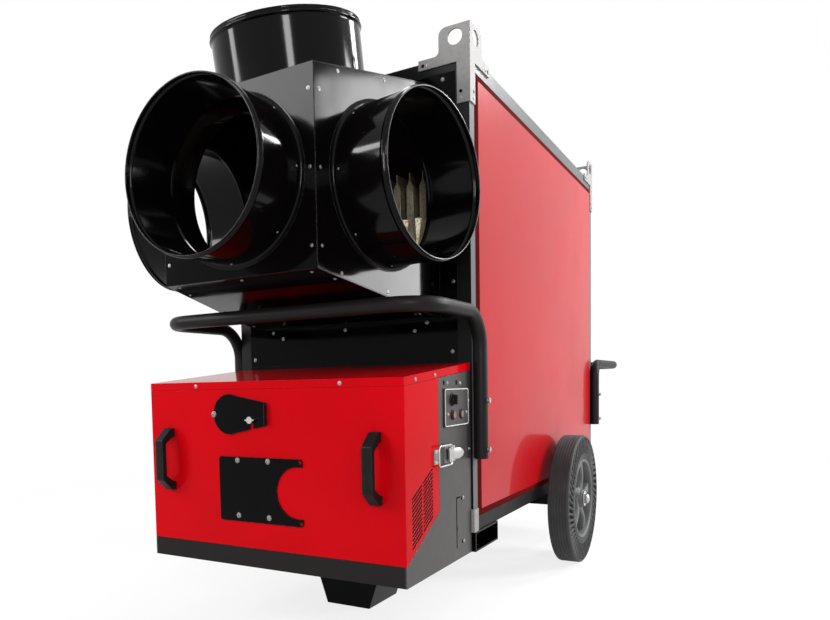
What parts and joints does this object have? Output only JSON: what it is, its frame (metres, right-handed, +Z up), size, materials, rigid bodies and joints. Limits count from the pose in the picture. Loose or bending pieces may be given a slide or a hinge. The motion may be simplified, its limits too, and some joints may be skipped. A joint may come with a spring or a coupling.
{
  "type": "mobile hot air generator",
  "caption": "Wheeled cabinet heater with a pull-off burner hood, tapered outlet plenum, round duct spigots, push rails, toggle latches and lifting brackets.",
  "frame": {"origin": "on the floor under the middle of the machine's length and width", "axes": "+Z up, -Y towards the burner hood, +X to the right seen from the burner end"},
  "size_m": [0.947, 2.358, 1.4605],
  "materials": {
    "red_paint": "gloss powder coat",
    "black_paint": "semi-gloss powder coat",
    "black_gloss": "gloss enamel",
    "galvanised": "zinc coated sheet",
    "bright_zinc": "bright zinc",
    "frame_grey": "satin",
    "stainless": "heat-tinted stainless",
    "tyre_rubber": "moulded rubber",
    "wheel_plastic": "moulded",
    "black_plastic": "moulded",
    "red_plastic": "gloss",
    "cast_grey": "cast"
  },
  "bodies": {
    "cabinet": {"side_panel_left": "red_paint", "side_panel_right": "red_paint", "base_tray": "black_paint", "side_plates": "black_paint", "front_foot": "black_paint", "chassis_frame": "black_paint", "fork_pocket_front": "black_paint", "fork_pocket_rear": "black_paint", "axle_beam": "black_paint", "front_panel_upper": "black_paint", "front_panel_lower": "black_paint", "rear_panel": "black_paint", "roof_panel": "black_paint", "push_rail_front": "black_paint", "push_rail_rear": "black_paint", "fan_guard": "black_paint", "control_plate": "black_paint", "plenum_front": "black_gloss", "plenum_left": "black_gloss", "plenum_right": "black_gloss", "plenum_top": "black_gloss", "plenum_bottom": "black_gloss", "spigot_front": "black_gloss", "spigot_left": "black_gloss", "spigot_right": "black_gloss", "spigot_top": "black_gloss", "corner_brackets": "galvanised", "wheel_axles": "galvanised", "flue_collar": "galvanised", "rail_bolts": "bright_zinc", "latch_bases": "bright_zinc", "axle_nuts": "bright_zinc", "cabinet_frame": "frame_grey", "furnace": "stainless", "heat_exchanger": "stainless", "blast_tube": "stainless", "cable_gland": "black_plastic", "status_lamp": "red_plastic", "burner_case": "cast_grey", "burner_motor": "cast_grey", "fan_motor": "cast_grey"},
    "hood": {"burner_hood": "red_paint", "burner_lid": "red_paint", "hood_handles": "black_plastic", "collar_plate": "black_paint", "hood_fasteners": "bright_zinc", "latch_catches": "bright_zinc"},
    "sight_cover": {"sight_cover": "black_paint"},
    "wing_screw": {"wing_screw": "bright_zinc"},
    "lever_right": {"latch_lever_right": "bright_zinc"},
    "bail_right": {"latch_bail_right": "bright_zinc"},
    "lever_left": {"latch_lever_left": "bright_zinc"},
    "bail_left": {"latch_bail_left": "bright_zinc"},
    "switch_knob": {"main_switch_knob": "black_plastic"},
    "reset_button": {"reset_button": "red_plastic"},
    "fan": {"fan_impeller": "cast_grey"},
    "wheel_right": {"tyre_right": "tyre_rubber", "wheel_hub_right": "wheel_plastic"},
    "wheel_left": {"tyre_left": "tyre_rubber", "wheel_hub_left": "wheel_plastic"}
  },
  "joints": [
    {"name": "hood_pull", "type": "slide", "parent": "cabinet", "child": "hood", "axis": [0, -1, 0], "range_m": [0, 0.4]},
    {"name": "cover_swing", "type": "hinge", "parent": "hood", "child": "sight_cover", "pos_m": [-0.144, -0.96075, 0.54], "axis": [0, -1, 0], "range_deg": [0, 110]},
    {"name": "wing_turn", "type": "hinge", "parent": "hood", "child": "wing_screw", "pos_m": [-0.033, -0.964, 0.527], "axis": [0, -1, 0], "range_deg": [0, 180]},
    {"name": "latch_right", "type": "hinge", "parent": "cabinet", "child": "lever_right", "pos_m": [0.363, -0.746, 0.44], "axis": [0, 0, -1], "range_deg": [0, 150]},
    {"name": "bail_right_swing", "type": "hinge", "parent": "lever_right", "child": "bail_right", "pos_m": [0.363, -0.734, 0.44], "axis": [0, 0, -1], "range_deg": [-150, 0]},
    {"name": "latch_left", "type": "hinge", "parent": "cabinet", "child": "lever_left", "pos_m": [-0.363, -0.746, 0.44], "axis": [0, 0, 1], "range_deg": [0, 150]},
    {"name": "bail_left_swing", "type": "hinge", "parent": "lever_left", "child": "bail_left", "pos_m": [-0.363, -0.734, 0.44], "axis": [0, 0, 1], "range_deg": [-150, 0]},
    {"name": "main_switch", "type": "hinge", "parent": "cabinet", "child": "switch_knob", "pos_m": [0.358, -0.719, 0.564], "axis": [1, 0, 0], "range_deg": [0, 90]},
    {"name": "reset_press", "type": "slide", "parent": "cabinet", "child": "reset_button", "axis": [-1, 0, 0], "range_m": [0, 0.0025], "stiffness_N_per_m": 300, "springref_m": -0.001},
    {"name": "fan_spin", "type": "hinge", "parent": "cabinet", "child": "fan", "pos_m": [0, 0.699, 0.8], "axis": [0, 1, 0], "continuous": true},
    {"name": "wheel_right_spin", "type": "hinge", "parent": "cabinet", "child": "wheel_right", "pos_m": [0.423, 0.168, 0.21], "axis": [1, 0, 0], "continuous": true},
    {"name": "wheel_left_spin", "type": "hinge", "parent": "cabinet", "child": "wheel_left", "pos_m": [-0.423, 0.168, 0.21], "axis": [1, 0, 0], "continuous": true}
  ],
  "couplings": [
    {"joint": "bail_right_swing", "follows": "latch_right", "ratio": -1},
    {"joint": "bail_left_swing", "follows": "latch_left", "ratio": -1}
  ]
}
